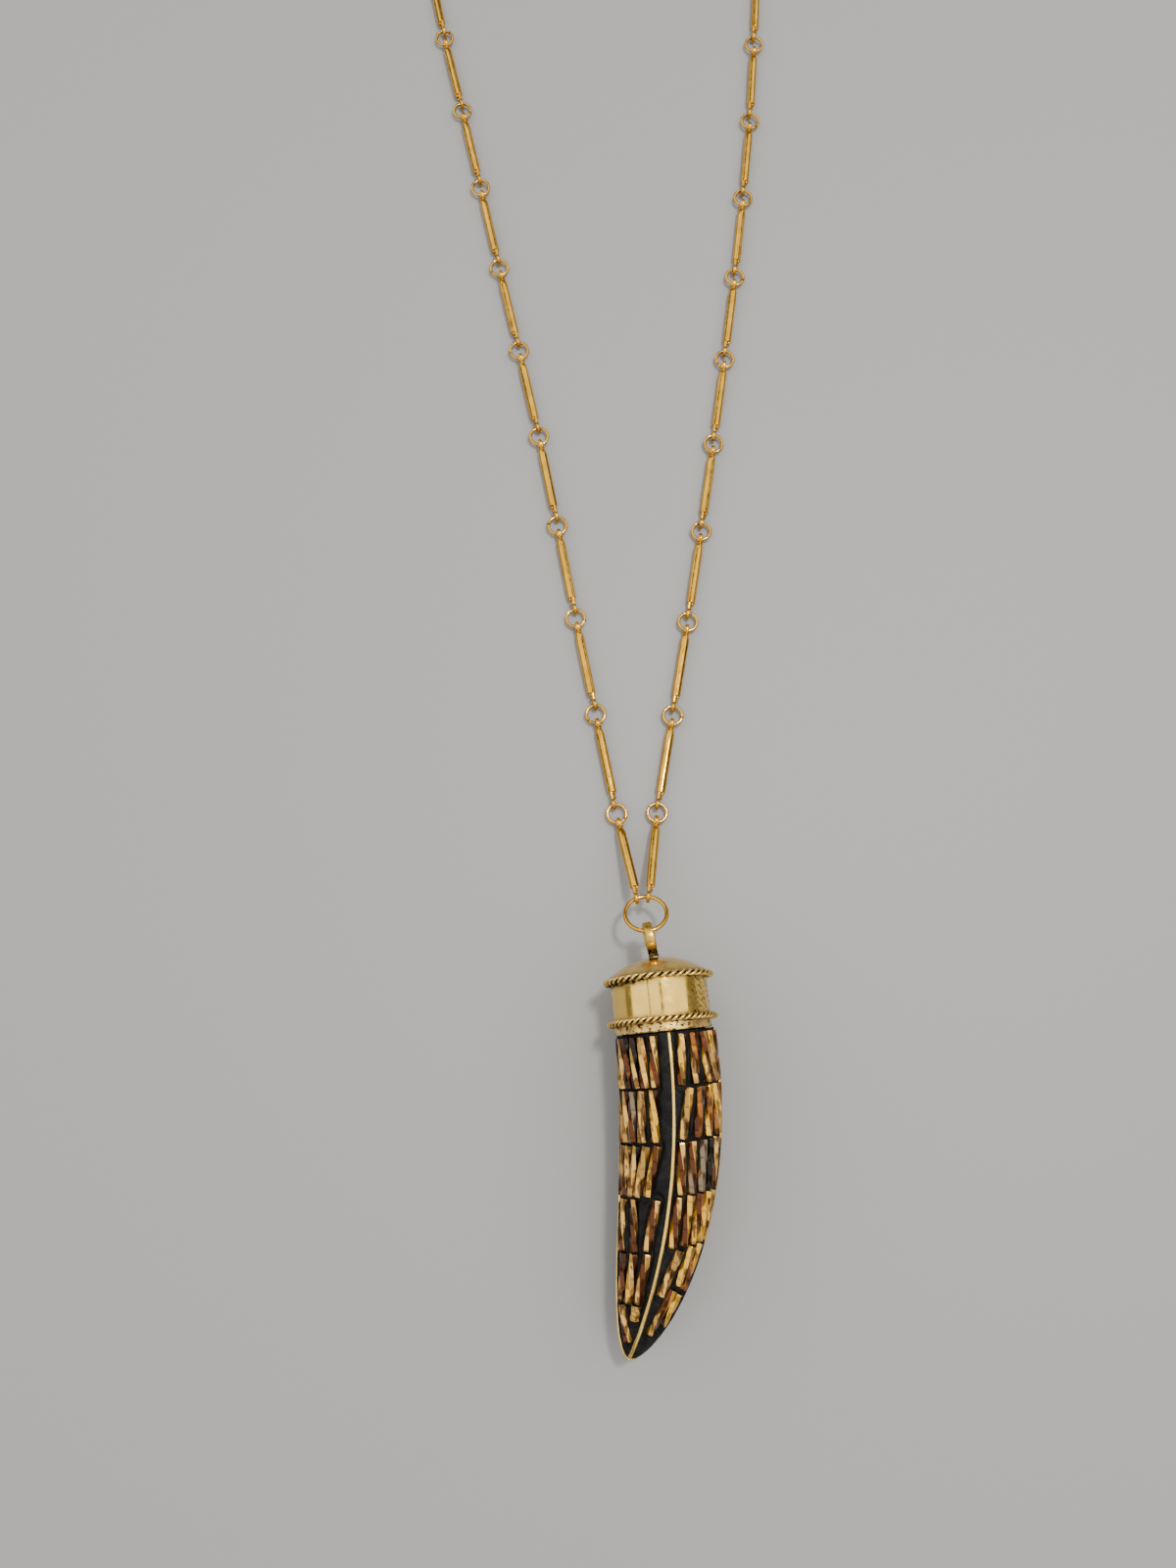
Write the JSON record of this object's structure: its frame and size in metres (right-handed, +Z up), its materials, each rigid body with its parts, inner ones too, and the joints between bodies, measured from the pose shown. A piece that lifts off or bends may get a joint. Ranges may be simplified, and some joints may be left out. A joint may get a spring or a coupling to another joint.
{
  "type": "horn pendant necklace",
  "caption": "Horn-shaped pendant inlaid with twisted bugle beads, capped in brass with two twisted rims and a bail, on a long necklace of straight bar links.",
  "frame": {"origin": "middle of the whole necklace, on the table it lies on", "axes": "+Y runs from the horn's tip up along the chain, +X is to the right as seen from above, +Z is up from the table"},
  "size_m": [0.1138, 0.5272, 0.0272],
  "materials": {
    "black_resin": "matte black filler resin, slightly rough",
    "bead_glass": "glossy bronze and cream twisted glass",
    "inlay_brass": "bright pale brass wire",
    "cap_brass": "polished pale brass, worn and scratched",
    "rim_brass": "polished brass with dark gaps",
    "chain_brass": "polished orange-gold plated brass"
  },
  "bodies": {
    "root": {"horn_body": "black_resin", "front_beads": "bead_glass", "back_beads": "bead_glass", "front_wire": "inlay_brass", "back_wire": "inlay_brass", "side_wire": "inlay_brass", "cap": "cap_brass", "upper_rim": "rim_brass", "lower_rim": "rim_brass", "pendant_ring": "chain_brass", "bar_links": "chain_brass", "jump_rings": "chain_brass"}
  },
  "joints": []
}
